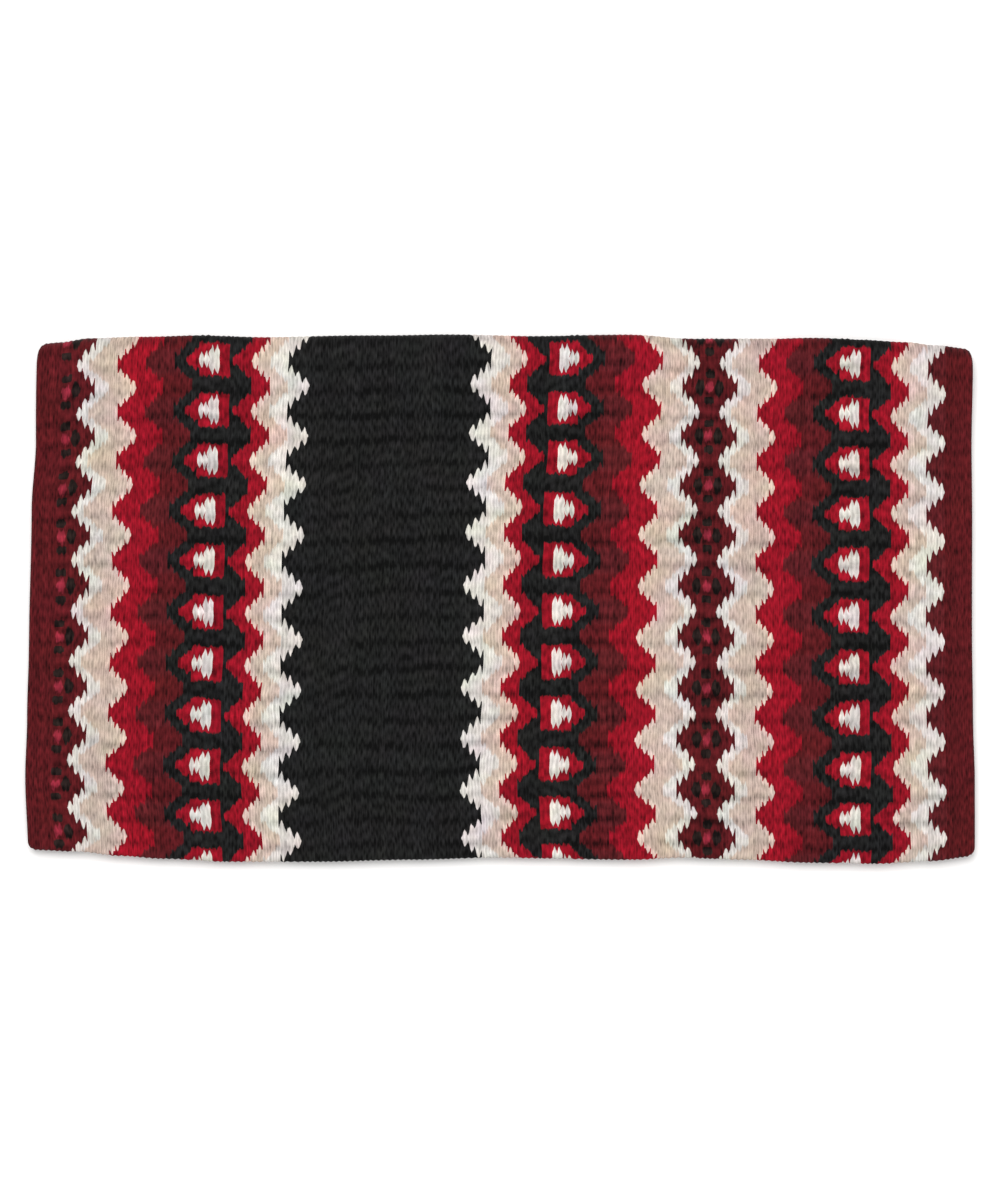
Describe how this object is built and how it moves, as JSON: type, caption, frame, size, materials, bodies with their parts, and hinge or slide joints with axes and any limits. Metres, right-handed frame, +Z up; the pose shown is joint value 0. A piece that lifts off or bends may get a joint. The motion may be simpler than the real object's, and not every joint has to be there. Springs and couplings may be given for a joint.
{
  "type": "folded wool saddle blanket",
  "caption": "Thick woven wool saddle blanket in zigzag stripes, folded once and lying flat, soft fold at one long side and free edges at the other.",
  "frame": {"origin": "on the surface, below the middle of the folded blanket's outline", "axes": "+X along the fold, +Y across the blanket towards the fold, +Z up out of the upper face"},
  "size_m": [0.8698, 0.485, 0.0233],
  "materials": {
    "wool_weave": "matte weft-faced wool in black, burgundy, red, tan and white stripes"
  },
  "bodies": {
    "root": {"folded_cloth": "wool_weave"}
  },
  "joints": []
}
